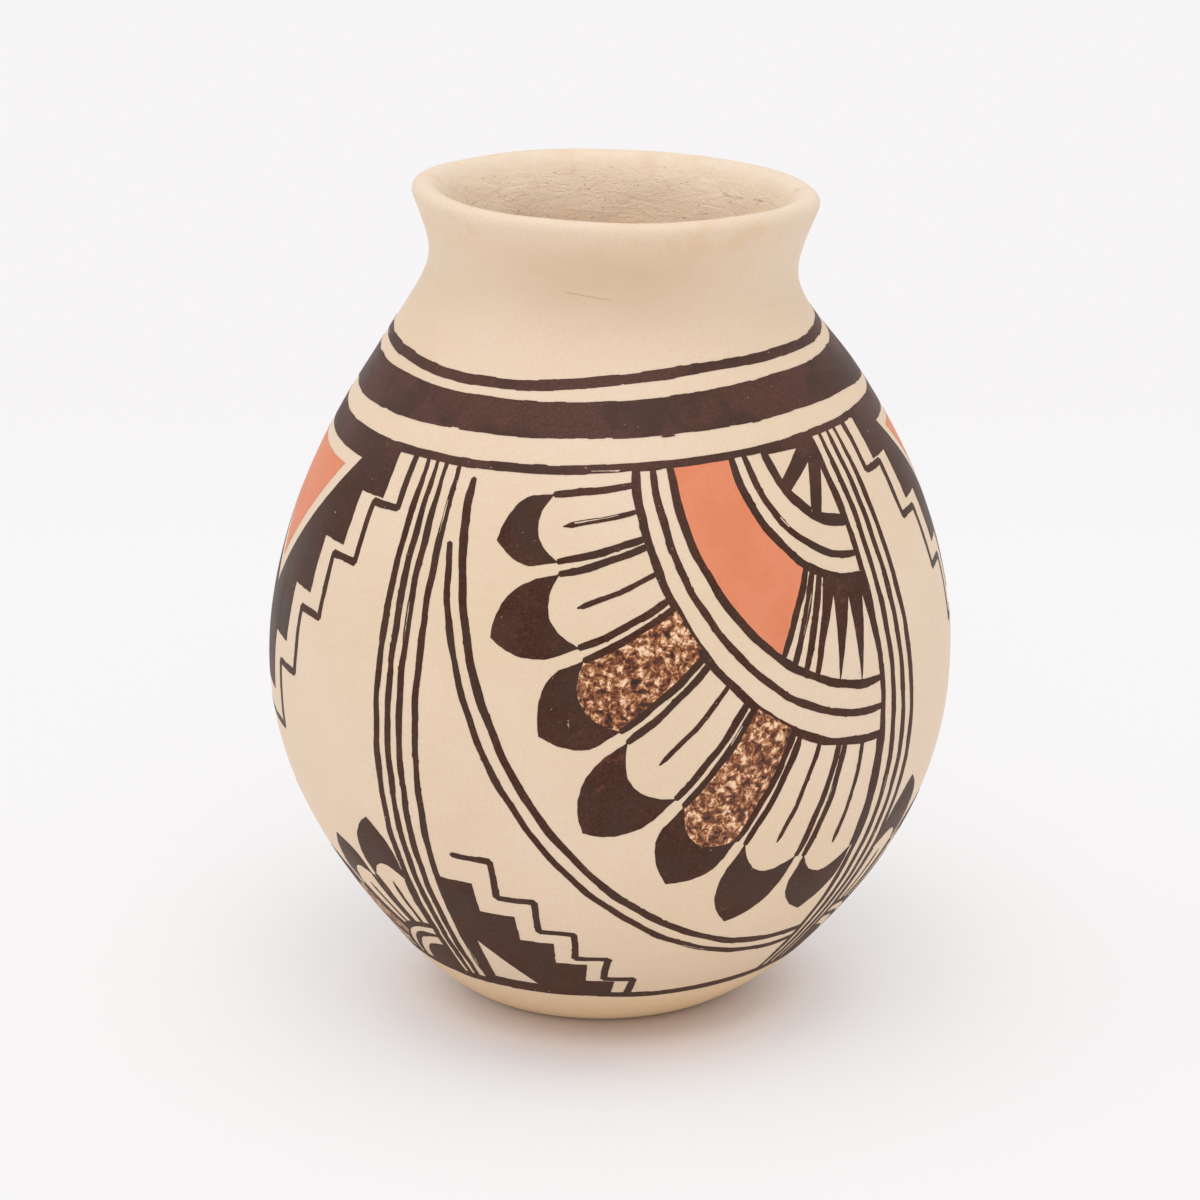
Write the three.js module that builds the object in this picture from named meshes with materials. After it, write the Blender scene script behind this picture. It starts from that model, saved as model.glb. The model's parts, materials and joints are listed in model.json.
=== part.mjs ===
// Small hand-built water jar of fired clay, in millimetres, +Z up, standing on z = 0.
// The wall is one piece of clay: coiled, scraped thin, wiped with the fingers inside, polished outside, fired.
import * as THREE from "three";
import { mergeVertices } from "three/addons/utils/BufferGeometryUtils.js";

// Driving dimensions of the clay
const height = 155.5; // foot to the crest of the lip
const wall = 5; // scraped wall, which thins into the lip
const floorThickness = 7.5; // clay under the middle of the inside
const foot = { radius: 28, shift: -1.8, shiftReach: 30 }; // flat disc, set a little to the left
const base = { out: 12.3, height: 9.9, turn: 10 }; // bevel over the foot, then so many degrees steeper
const belly = { radius: 65.05, height: 66 };
const collar = { radius: 41, height: 127.9, slope: 53.5 }; // where the shoulder turns into the neck
// The lip flares out by degrees from upright, rounds over and rolls softly down the inside
const lip = { radius: 37.6, flare: 21.6, round: 1.8, roll: 10 };

// How far each stretch of the outline holds its direction, as a share of that stretch
const fullness = {
  footOut: 0.45,
  baseIn: 0.3,
  baseOut: 0.47,
  bellyDown: 0.34,
  bellyUp: 0.2,
  shoulderIn: 0.543,
  neckOut: 0.61,
  lipIn: 0.47,
  rollOut: 0.6,
  rollIn: 0.5,
};

// What the hand leaves
const oval = 0.25; // how far the belly is out of round
const top = { shift: 1, reach: 60, tilt: 1.16, tiltTurn: 12 }; // the lip lies to the right and falls that way
const lean = { shift: -0.8, overCollar: 5.6, reach: 13 }; // the neck leans to the left under the lip
const coil = { pitch: 9.5, depth: 0.35, count: 5 }; // finger-smoothed coils inside the neck and shoulder

// How finely the surface is cut into faces
const sides = 64;
const mergeDistance = 1e-4;
const steps = { foot: 6, lowerWall: 13, shoulder: 14, neck: 9, lip: 5, roll: 6, coil: 4, inside: 15 };

const clay = new THREE.MeshStandardMaterial({ color: 0xe6cfb4, roughness: 0.62, metalness: 0 });

function point(radius, z) {
  return new THREE.Vector2(radius, z);
}

// Unit direction in the outline's plane, at an angle in degrees up from level
function heading(degrees) {
  const angle = THREE.MathUtils.degToRad(degrees);
  return point(Math.cos(angle), Math.sin(angle));
}

// One smooth stretch that leaves its start, and reaches its end, in the given directions
function stretch(start, startHeading, startHold, end, endHeading, endHold) {
  const leave = start.clone().addScaledVector(startHeading, startHold);
  const arrive = end.clone().addScaledVector(endHeading, -endHold);
  return new THREE.CubicBezierCurve(start, leave, arrive, end);
}

// The outside of the wall, from the edge of the foot to where the lip begins to round over
function wallStretches() {
  const level = heading(0);
  const upright = heading(90);
  const bevel = Math.atan2(base.height, base.out);
  const slope = bevel + THREE.MathUtils.degToRad(base.turn);
  const baseUp = point(Math.cos(slope), Math.sin(slope));
  const turnUp = heading(180 - collar.slope);
  const flareUp = heading(90 - lip.flare);
  const footEdge = point(foot.radius, 0);
  const baseEdge = point(foot.radius + base.out, base.height);
  const widest = point(belly.radius, belly.height);
  const turn = point(collar.radius, collar.height);
  const lipEdge = lipCentre().addScaledVector(heading(-lip.flare), lip.round);
  const footSpan = base.out - base.height / Math.tan(slope);
  const bevelSpan = base.height / Math.sin(slope);
  const lowerSpan = belly.height - base.height;
  const shoulderSpan = collar.height - belly.height;
  const neckSpan = lipEdge.y - collar.height;
  return [
    stretch(footEdge, level, fullness.footOut * footSpan, baseEdge, baseUp, fullness.baseIn * bevelSpan),
    stretch(baseEdge, baseUp, fullness.baseOut * lowerSpan, widest, upright, fullness.bellyDown * lowerSpan),
    stretch(widest, upright, fullness.bellyUp * shoulderSpan, turn, turnUp, fullness.shoulderIn * shoulderSpan),
    stretch(turn, turnUp, fullness.neckOut * neckSpan, lipEdge, flareUp, fullness.lipIn * neckSpan),
  ];
}

function lipCentre() {
  return point(lip.radius - lip.round, height - lip.round);
}

// The arc that carries the outside of the lip up to its crest
function lipPoints() {
  const centre = lipCentre();
  const start = THREE.MathUtils.degToRad(-lip.flare);
  const arc = new THREE.EllipseCurve(centre.x, centre.y, lip.round, lip.round, start, Math.PI / 2, false);
  return arc.getPoints(steps.lip);
}

// Clay between the outside at z and the inside, with the coil ridges at a distance below the lip's roll
function thickness(z, belowRoll) {
  const deepen = 1 - THREE.MathUtils.smoothstep(z, 0, belly.height);
  const coiled = belowRoll < coil.count * coil.pitch;
  const ridge = coiled ? 0.5 - 0.5 * Math.cos((2 * Math.PI * belowRoll) / coil.pitch) : 0;
  return wall + (floorThickness - wall) * deepen + coil.depth * ridge;
}

// The inside of the wall and its direction downwards, at a distance below the lip's edge
function insideAt(outside, distance) {
  const along = Math.max(0, 1 - distance / outside.getLength());
  const on = outside.getPoint(along);
  const run = outside.getTangent(along);
  const inward = point(-run.y, run.x);
  const place = on.clone().addScaledVector(inward, thickness(on.y, distance - lip.roll));
  return { place, down: run.clone().negate() };
}

// The soft roll from the crest of the lip into the mouth
function rollPoints(outside) {
  const crest = lipCentre().add(point(0, lip.round));
  const end = insideAt(outside, lip.roll);
  const across = crest.x - end.place.x;
  const drop = crest.y - end.place.y;
  const leave = fullness.rollOut * across;
  const arrive = fullness.rollIn * drop;
  return stretch(crest, heading(180), leave, end.place, end.down, arrive).getSpacedPoints(steps.roll);
}

// Under the roll the inside follows the outside at the wall's thickness, down to the floor
function insidePoints(outside) {
  const coiled = coil.count * coil.pitch;
  const rest = outside.getLength() - lip.roll - coiled;
  const distances = [];
  for (let i = 1; i <= coil.count * steps.coil; i += 1) {
    distances.push(lip.roll + (i * coil.pitch) / steps.coil);
  }
  for (let i = 1; i <= steps.inside; i += 1) {
    distances.push(lip.roll + coiled + (rest * i) / steps.inside);
  }
  return distances.map((distance) => insideAt(outside, distance).place);
}

// Closed outline of the wall: foot, outside, lip, inside and floor, from the axis round to the axis
function wallOutline() {
  const stretches = wallStretches();
  const counts = [steps.foot, steps.lowerWall, steps.shoulder, steps.neck];
  const outside = new THREE.CurvePath();
  const points = [point(0, 0), stretches[0].getPoint(0)];
  stretches.forEach((curve, index) => {
    outside.add(curve);
    points.push(...curve.getSpacedPoints(counts[index]).slice(1));
  });
  points.push(...lipPoints().slice(1), ...rollPoints(outside).slice(1), ...insidePoints(outside));
  points.push(point(0, floorThickness));
  return points;
}

// 1 in the middle of a stretch of the height, and 0 past its ends
function swelling(z, middle, reach) {
  const away = Math.min(1, Math.abs(z - middle) / reach);
  return Math.cos((away * Math.PI) / 2) ** 2;
}

// The slight lean, tilt and ovality of a jar that was built without a wheel
function shapeByHand(position) {
  const fall = heading(top.tiltTurn);
  for (let i = 0; i < position.count; i += 1) {
    const x = position.getX(i);
    const y = position.getY(i);
    const z = position.getZ(i);
    const radius = Math.hypot(x, y);
    const low = Math.max(0, 1 - z / foot.shiftReach) ** 2;
    const high = THREE.MathUtils.smoothstep(z, height - top.reach, height);
    const leaning = swelling(z, collar.height + lean.overCollar, lean.reach);
    const out = radius > 0 ? 1 + (oval * (x * x - y * y)) / (radius * radius * belly.radius) : 1;
    const shift = foot.shift * low + top.shift * high + lean.shift * leaning;
    const drop = (top.tilt * high * (x * fall.x + y * fall.y)) / lip.radius;
    position.setXYZ(i, x * out + shift, y * out, z - drop);
  }
}

function jarGeometry() {
  const turned = new THREE.LatheGeometry(wallOutline(), sides);
  turned.rotateX(Math.PI / 2);
  turned.deleteAttribute("normal");
  turned.deleteAttribute("uv");
  const geometry = mergeVertices(turned, mergeDistance);
  shapeByHand(geometry.attributes.position);
  geometry.computeVertexNormals();
  return geometry;
}

const jar = new THREE.Group();
const body = new THREE.Mesh(jarGeometry(), clay);
body.name = "jar_body";
jar.add(body);

export default jar;
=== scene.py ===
"""A hand-built water jar with painted rings, line groups and panels, dressed on its packed clay body."""
import json
import math

import bpy
import numpy as np
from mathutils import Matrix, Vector
from mathutils.geometry import delaunay_2d_cdt

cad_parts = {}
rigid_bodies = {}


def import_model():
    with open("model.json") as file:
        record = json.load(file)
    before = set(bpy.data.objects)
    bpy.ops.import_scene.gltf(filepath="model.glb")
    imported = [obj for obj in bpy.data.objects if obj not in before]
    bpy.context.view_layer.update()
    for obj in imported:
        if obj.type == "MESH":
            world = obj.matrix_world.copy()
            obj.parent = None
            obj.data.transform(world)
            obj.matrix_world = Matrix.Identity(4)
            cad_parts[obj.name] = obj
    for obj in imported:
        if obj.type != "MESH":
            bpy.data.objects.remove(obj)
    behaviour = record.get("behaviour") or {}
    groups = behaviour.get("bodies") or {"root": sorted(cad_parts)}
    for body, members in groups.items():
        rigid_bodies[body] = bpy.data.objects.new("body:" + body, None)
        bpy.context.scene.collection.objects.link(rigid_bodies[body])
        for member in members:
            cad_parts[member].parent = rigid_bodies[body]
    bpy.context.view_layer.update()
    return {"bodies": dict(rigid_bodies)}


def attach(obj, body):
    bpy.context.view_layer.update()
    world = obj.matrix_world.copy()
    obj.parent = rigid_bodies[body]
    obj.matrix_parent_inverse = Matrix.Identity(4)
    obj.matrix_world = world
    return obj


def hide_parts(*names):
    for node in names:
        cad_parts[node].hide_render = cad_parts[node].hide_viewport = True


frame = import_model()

bl_info = {
    "name": "Painted Water Jar",
    "version": (1, 0, 0),
    "blender": (4, 5, 0),
    "location": "3D View > Sidebar > Jar",
    "description": "Builds a hand-built clay jar, its slip-painted decoration and a plain studio",
    "category": "Add Mesh",
}

ROOT = next(iter(frame["bodies"]))
MM = 0.001

# Sizes of the clay in millimetres, as in the part's source
HEIGHT = 155.5
WALL = 5.0
FLOOR_THICKNESS = 7.5
FOOT = {"radius": 28.0, "shift": -1.8, "reach": 30.0}
BASE = {"out": 12.3, "height": 9.9, "turn": 10.0}
BELLY = {"radius": 65.05, "height": 66.0}
COLLAR = {"radius": 41.0, "height": 127.9, "slope": 53.5}
LIP = {"radius": 37.6, "flare": 21.6, "round": 1.8, "roll": 10.0}
FULLNESS = {
    "foot_out": 0.45,
    "base_in": 0.3,
    "base_out": 0.47,
    "belly_down": 0.34,
    "belly_up": 0.2,
    "shoulder_in": 0.543,
    "neck_out": 0.61,
    "lip_in": 0.47,
    "roll_out": 0.6,
    "roll_in": 0.5,
}
OVAL = 0.25
TOP = {"shift": 1.0, "reach": 60.0, "tilt": 1.16, "tilt_turn": 12.0}
LEAN = {"shift": -0.8, "over_collar": 5.6, "reach": 13.0}
COIL = {"pitch": 9.5, "depth": 0.35, "count": 5}

# What the hand leaves: waves round the jar as times round, turn per millimetre up, size and start.
# The outer ones come in over the foot and go again under the lip, between these heights.
OUTER_SWELLS = ((2, 0.031, 0.1, 0.4), (3, -0.052, 0.09, 2.1), (5, 0.085, 0.06, 4.4), (8, -0.12, 0.03, 1.2))
INNER_SWELLS = ((2, 0.05, 0.25, 1.0), (3, 0.21, 0.16, 3.0), (5, -0.33, 0.12, 0.2), (9, 0.55, 0.07, 5.1))
SWELL_IN = (3, 16)
SWELL_OUT = (146, 153)

# Waver of the lip as times round, size and start, and the heights between which it comes in
LIP_WAVER = ((2, 0.12, -0.17), (3, 0.17, -0.7), (5, 0.10, 2.9), (8, 0.05, 4.0))
WAVER_IN = (COLLAR["height"] + 10, HEIGHT - 1)

# How finely the clay's outline is drawn, and the clay cut into faces
CURVE_POINTS = 300
AROUND = 288
ROW = 1.25
LIP_ROWS = 9
ROLL_ROWS = 14
INNER_ROWS = 104
FLAT_ROWS = 9

# How far the paint stands over the clay and reaches into it, and how finely it is cut
PAINT_LIFT = {"rings": 0.060, "groups": 0.055, "fields": 0.050}
PAINT_SINK = 0.10
PAINT_GRID = 2.2
BRUSH_STEP = 0.5
RING_STEPS = 900
RING_END_STEPS = 8
PATH_STEPS = {"ring": 300, "line": 40}

# Digits of a millimetre that tell two points apart, and the area under which a face is dropped
POINT_DIGITS = 5
NO_AREA = 1e-7

# The brush's hand: a stroke sways and swells over a length, and its edges drift by a size over a length,
# step by a size and carry nicks of a size in a share of their points
SWAY = 9
SWELLING = 0.05
EDGE_DRIFT = (0.015, 1.5)
EDGE_STEPS = 0.035
NICKS = (0.16, 0.012)
ROUNDING = 0.7
LEAST_HALF = 0.06
STEP_LENGTHS = (1, 4)

# A patch's edge drifts and steps by shares of its roughness, and is calm near a bend
PATCH_DRIFT = (0.7, 2.5)
PATCH_STEPS = 0.6
PATCH_BEND = 0.9
PATCH_CALM = 1.5

# A ring's edges waver over these lengths, the short ones less
RING_WAVES = (3, 7, 19, 47, 97)
RING_DRIFT = 0.05
RING_WHOLE = 20

# Touches of the brush: how many for each millimetre, how long and how they end, and what sets
# a sliver that the brush missed apart from a dry stroke
TOUCHES = {"ring": 0.025, "group": 0.02, "field": 0.018}
TOUCH_LENGTHS = (3, 9)
TOUCH = {"start": 0.15, "end": 0.15, "shake": 0.03}
MISSED_SHARE = 0.25
MISSED = {"width": 0.16, "away": 0.26, "colour": "bare"}
DRY = {"width": 0.34, "away": 0.45, "colour": "dark"}

# Where the randomness of each step's brushes starts
SEEDS = {"rings": 11, "groups": 21, "fans": 31, "pendants": 41}

# Painted rings: mean height, and the waves that go round the jar once, twice and so on.
# Each wave has its size, and the place of its crest in degrees.
NECK_LINE = (129.43, ((2.06, 124), (0.57, 59), (0.2, 13), (0.35, 21)))
BAND_TOP = (126.53, ((1.92, 123), (0.47, 69), (0.07, -29), (0.24, 27)))
BAND_LOW = (119.27, ((0.96, 55), (0.67, 50), (0.38, 54), (0.24, -20)))
SHOULDER_LINE = (115.92, ((1.63, 115), (0.66, 68)))
BASE_LINE = (12.3, ((1.61, 149), (0.55, -49)))

# Groups of upright lines: angles of the middle at the top, belly and base, each line's place beside it,
# and how much a line narrows at its ends and widens between them
NARROW_GROUP = {"middle": (-36.2, -36.3, -36.2), "lines": (-3.9, -1.5, 0.8, 3.9)}
WIDE_GROUP = {"middle": (51.6, 53.4, 47.4), "lines": (-4.4, -1.5, 1.3, 4.0)}
GROUPS = (
    ("front_left", NARROW_GROUP, 0.0),
    ("front_right", WIDE_GROUP, 0.0),
    ("back_right", NARROW_GROUP, 180.0),
    ("back_left", WIDE_GROUP, 180.0),
)
GROUP_ENDS = {"start": 0.72, "end": 0.55, "taper": 9}
GROUP_WIDER = 1.05

# Heights between which the groups curve, their lines are first laid and the fields are measured
GROUP_SPAN = (12.0, 115.0)
LINE_SPAN = (12.0, 116.0)
FIELD_SPAN = (11.0, 114.0)

# Ways to the soft lights, and the camera in metres, degrees and millimetres of its sensor
SCREENS = {"over": (0, 0, 1), "front": (0, -0.6, 0.8), "left": (-0.77, 0, 0.64)}
CAMERA = {
    "place": (-0.00198, -0.6515, 0.2841),
    "tilt": 72.19,
    "sensor": 36,
    "lens": 107.1,
    "clip": (0.05, 50),
}

# The floor's drop under the jar in millimetres, and how far its shades reach as the camera sees them:
# right by the foot, widely round a middle on squeezed coordinates, and towards the back
FLOOR_DROP = 0.05
SHADOW = {
    "contact": (34, 43),
    "squeeze": (1340, 1400, 1000),
    "middle": (0, -21, 0),
    "wide": (15, 77),
    "far": (250, 450),
}
PER_MM = (1000, 1000, 1000)


def level(degrees):
    """Unit direction at an angle up from level."""
    turn = math.radians(degrees)
    return np.array([math.cos(turn), math.sin(turn)])


def smooth(value, low, high):
    share = np.clip((value - low) / (high - low), 0, 1)
    return share * share * (3 - 2 * share)


def stretch(start, start_way, start_hold, end, end_way, end_hold):
    """One smooth stretch that leaves its start, and reaches its end, in the given directions."""
    t = np.linspace(0, 1, CURVE_POINTS)[:, None]
    u = 1 - t
    leave = start + start_way * start_hold
    arrive = end - end_way * end_hold
    return u ** 3 * start + 3 * u ** 2 * t * leave + 3 * u * t ** 2 * arrive + t ** 3 * end


def wall_outline():
    """Outside of the wall, from the edge of the foot to where the lip begins to round over."""
    bevel = math.degrees(math.atan2(BASE["height"], BASE["out"]))
    slope = bevel + BASE["turn"]
    foot_span = BASE["out"] - BASE["height"] / math.tan(math.radians(slope))
    bevel_span = BASE["height"] / math.sin(math.radians(slope))
    lower_span = BELLY["height"] - BASE["height"]
    shoulder_span = COLLAR["height"] - BELLY["height"]
    lip_edge = LIP_CENTRE + LIP["round"] * level(-LIP["flare"])
    neck_span = lip_edge[1] - COLLAR["height"]
    knots = [
        (np.array([FOOT["radius"], 0.0]), level(0)),
        (np.array([FOOT["radius"] + BASE["out"], BASE["height"]]), level(slope)),
        (np.array([BELLY["radius"], BELLY["height"]]), level(90)),
        (np.array([COLLAR["radius"], COLLAR["height"]]), level(180 - COLLAR["slope"])),
        (lip_edge, level(90 - LIP["flare"])),
    ]
    holds = [
        (FULLNESS["foot_out"] * foot_span, FULLNESS["base_in"] * bevel_span),
        (FULLNESS["base_out"] * lower_span, FULLNESS["belly_down"] * lower_span),
        (FULLNESS["belly_up"] * shoulder_span, FULLNESS["shoulder_in"] * shoulder_span),
        (FULLNESS["neck_out"] * neck_span, FULLNESS["lip_in"] * neck_span),
    ]
    parts = [
        stretch(*start, leave, *end, arrive)
        for start, end, (leave, arrive) in zip(knots, knots[1:], holds)
    ]
    return np.vstack([parts[0]] + [part[1:] for part in parts[1:]])


LIP_CENTRE = np.array([LIP["radius"] - LIP["round"], HEIGHT - LIP["round"]])
OUTLINE = wall_outline()
PIECES = np.hypot(*np.diff(OUTLINE, axis=0).T)
ALONG = np.r_[0, np.cumsum(PIECES)]
TANGENT = np.gradient(OUTLINE, ALONG, axis=0)
TANGENT /= np.linalg.norm(TANGENT, axis=1)[:, None]
RISE = np.degrees(np.r_[0, np.cumsum(2 * PIECES / (OUTLINE[1:, 0] + OUTLINE[:-1, 0]))])
UP = RISE - np.interp(BELLY["height"], OUTLINE[:, 1], RISE)


def from_outline(known, values, columns):
    return np.stack([np.interp(values, known, columns[:, k]) for k in (0, 1)], -1)


def swell(waves, angle, height):
    """Unevenness of a hand-built wall, in millimetres."""
    turn = np.radians(angle)
    return sum(size * np.sin(times * turn + climb * height + start) for times, climb, size, start in waves)


def outer_swell(angle, height):
    fade = smooth(height, *SWELL_IN) * (1 - smooth(height, *SWELL_OUT))
    return swell(OUTER_SWELLS, angle, height) * fade


def shape_by_hand(x, y, z, angle):
    """The lean, tilt and ovality that the part's source gives the clay, and a slight waver of the lip."""
    radius = np.maximum(np.hypot(x, y), 1e-9)
    low = np.maximum(0, 1 - z / FOOT["reach"]) ** 2
    high = smooth(z, HEIGHT - TOP["reach"], HEIGHT)
    away = np.minimum(1, np.abs(z - COLLAR["height"] - LEAN["over_collar"]) / LEAN["reach"])
    out = 1 + OVAL * (x * x - y * y) / (radius * radius * BELLY["radius"])
    shift = FOOT["shift"] * low + TOP["shift"] * high + LEAN["shift"] * np.cos(away * math.pi / 2) ** 2
    fall = level(TOP["tilt_turn"])
    drop = TOP["tilt"] * high * (x * fall[0] + y * fall[1]) / LIP["radius"]
    waver = sum(size * np.sin(times * np.radians(angle) + start) for times, size, start in LIP_WAVER)
    return np.stack([x * out + shift, y * out, z - drop + waver * smooth(z, *WAVER_IN)], -1)


def turned(angle, radius, height):
    """Points of the outline, turned from the front to the right by an angle in degrees."""
    turn = np.radians(angle)
    return shape_by_hand(radius * np.sin(turn), -radius * np.cos(turn), height, angle)


def outside(angle, up):
    """Points on the outside of the jar, from degrees right of the front and map degrees over the belly."""
    at = from_outline(UP, up, OUTLINE)
    tangent = from_outline(UP, up, TANGENT)
    bump = outer_swell(angle, at[:, 1])
    return turned(angle, at[:, 0] + tangent[:, 1] * bump, at[:, 1] - tangent[:, 0] * bump)


def outward(angle, up):
    """Unit directions that stand on the outside of the jar."""
    step = 0.05
    right = outside(angle + step, up) - outside(angle - step, up)
    rise = outside(angle, up + step) - outside(angle, up - step)
    way = np.cross(right, rise)
    return way / np.linalg.norm(way, axis=1)[:, None]


def map_height(height):
    """Map degrees of a height in millimetres."""
    return np.interp(height, OUTLINE[:, 1], UP)


def map_scale(up):
    """Millimetres on the clay for one degree of the map."""
    return np.radians(np.interp(up, UP, OUTLINE[:, 0]))


def ring_height(ring, angle):
    mean, waves = ring
    turn = np.asarray(angle, float)
    total = np.full_like(turn, mean)
    for times, (size, crest) in enumerate(waves, start=1):
        total = total + size * np.cos(np.radians(times * (turn - crest)))
    return total


def inside_at(below):
    """The inside of the wall and the way out of it, at a distance down the outside from the lip's edge."""
    along = ALONG[-1] - below
    radius, height = from_outline(ALONG, along, OUTLINE)
    run, climb = from_outline(ALONG, along, TANGENT)
    deepen = 1 - smooth(height, 0, BELLY["height"])
    coiled = below - LIP["roll"] < COIL["count"] * COIL["pitch"]
    ridge = 0.5 - 0.5 * math.cos(2 * math.pi * (below - LIP["roll"]) / COIL["pitch"]) if coiled else 0.0
    thick = WALL + (FLOOR_THICKNESS - WALL) * deepen + COIL["depth"] * ridge
    return np.array([radius - climb * thick, height + run * thick]), np.array([-climb, run])


def roll_rows():
    """Rows of the soft roll from the crest of the lip into the mouth."""
    crest = LIP_CENTRE + np.array([0, LIP["round"]])
    end, inward = inside_at(LIP["roll"])
    down = np.array([-inward[1], inward[0]])
    leave, arrive = FULLNESS["roll_out"] * (crest[0] - end[0]), FULLNESS["roll_in"] * (crest[1] - end[1])
    path = stretch(crest, level(180), leave, end, down, arrive)
    along = np.r_[0, np.cumsum(np.hypot(*np.diff(path, axis=0).T))]
    tangent = np.gradient(path, along, axis=0)
    rows = []
    for share in np.linspace(0, 1, ROLL_ROWS)[1:]:
        at = from_outline(along, share * along[-1], path)
        way = from_outline(along, share * along[-1], tangent)
        rows.append((*at, way[1], -way[0], share))
    return rows


def clay_rows():
    """Rows of the clay's outline from under the foot to the middle of the floor inside."""
    rows = [(FOOT["radius"] * i / FLAT_ROWS, 0.0, 0.0, -1.0, 0.0) for i in range(1, FLAT_ROWS)]
    for along in np.linspace(0, ALONG[-1], int(ALONG[-1] / ROW)):
        run, climb = from_outline(ALONG, along, TANGENT)
        rows.append((*from_outline(ALONG, along, OUTLINE), climb, -run, 0.0))
    for i in range(1, LIP_ROWS + 1):
        way = level(-LIP["flare"] + (90 + LIP["flare"]) * i / LIP_ROWS)
        rows.append((*(LIP_CENTRE + LIP["round"] * way), *way, 0.0))
    rows += roll_rows()
    for below in np.linspace(LIP["roll"], ALONG[-1], INNER_ROWS)[1:]:
        place, inward = inside_at(below)
        rows.append((*place, *inward, 1.0))
    for i in range(1, FLAT_ROWS):
        rows.append((FOOT["radius"] * (1 - i / FLAT_ROWS), FLOOR_THICKNESS, 0.0, 1.0, 1.0))
    return np.array(rows)


def clay_points(rows):
    """Each row of the outline turned round the axis, with the unevenness of the hand."""
    angle, radius = np.meshgrid(np.arange(AROUND) * 360 / AROUND, rows[:, 0])
    height, out, up, inner = (np.repeat(rows[:, k:k + 1], AROUND, axis=1) for k in (1, 2, 3, 4))
    inner_swell = inner * swell(INNER_SWELLS, angle, height)
    bump = np.where(inner > 0, inner_swell, outer_swell(angle, height))
    return turned(angle, radius + out * bump, height + up * bump)


def new_object(name, points, faces, material):
    mesh = bpy.data.meshes.new(name)
    mesh.from_pydata((np.asarray(points) * MM).tolist(), [], faces)
    mesh.materials.append(material)
    mesh.shade_smooth()
    made = bpy.data.objects.new(name, mesh)
    bpy.context.scene.collection.objects.link(made)
    return made


def clay_faces(count):
    """Faces between the rows of the grid, and the fans that close it under the foot and on the floor."""
    sides = [(side, (side + 1) % AROUND) for side in range(AROUND)]
    last = (count - 1) * AROUND
    faces = []
    for low in range(0, last, AROUND):
        high = low + AROUND
        faces += [(low + side, low + step, high + step, high + side) for side, step in sides]
    for side, step in sides:
        faces += [(step, side, last + AROUND), (last + side, last + step, last + AROUND + 1)]
    return faces


def make_clay():
    """The clay wall as one closed mesh, with how far inside each point lies."""
    rows = clay_rows()
    grid = clay_points(rows)
    count = len(rows)
    under = grid[0].mean(axis=0) * (1, 1, 0)
    floor = grid[-1].mean(axis=0)
    points = np.vstack([grid.reshape(-1, 3), under, floor])
    jar = new_object("jar_clay", points, clay_faces(count), make_material("cream_slip", fill_clay))
    inner = np.append(np.repeat(rows[:, 4], AROUND), (0.0, 1.0))
    layer = jar.data.attributes.new("inner", "FLOAT", "POINT")
    layer.data.foreach_set("value", inner.astype(np.float32))
    add_clay_map(jar.data, rows, count)
    return jar


def add_clay_map(mesh, rows, count):
    """A flat map: the outside below, the inside above it, unrolled round the jar."""
    run = np.r_[0, np.cumsum(np.hypot(*np.diff(rows[:, :2], axis=0).T))]
    total = run[-1] + 2 * FOOT["radius"] / FLAT_ROWS
    climb = np.r_[(run + FOOT["radius"] / FLAT_ROWS) / total, 0.0, 1.0]
    layer = mesh.uv_layers.new(name="OFBake")
    places = []
    for face in mesh.polygons:
        corners = list(face.vertices)
        sides = [c % AROUND for c in corners if c < count * AROUND]
        wraps = max(sides) - min(sides) > 1
        middle = (min(sides) + 0.5) if not wraps else AROUND - 0.5
        for c in corners:
            if c >= count * AROUND:
                across, row = middle, count + c - count * AROUND
            else:
                across, row = c % AROUND, c // AROUND
                across = AROUND if wraps and across == 0 else across
            places += [across / AROUND, climb[row]]
    layer.data.foreach_set("uv", places)


def bend(*points, count):
    """A curve drawn from its first point to its last, pulled by those between."""
    t = np.linspace(0, 1, count)[:, None]
    last = len(points) - 1
    pulls = [math.comb(last, i) * (1 - t) ** (last - i) * t ** i for i in range(last + 1)]
    return sum(pull * np.array(point, float) for pull, point in zip(pulls, points))


def along_and_aside(points):
    """Unit directions along a path on the map, and to its left."""
    run = np.gradient(points, axis=0)
    run /= np.linalg.norm(run, axis=1)[:, None]
    return run, np.stack([-run[:, 1], run[:, 0]], -1)


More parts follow.
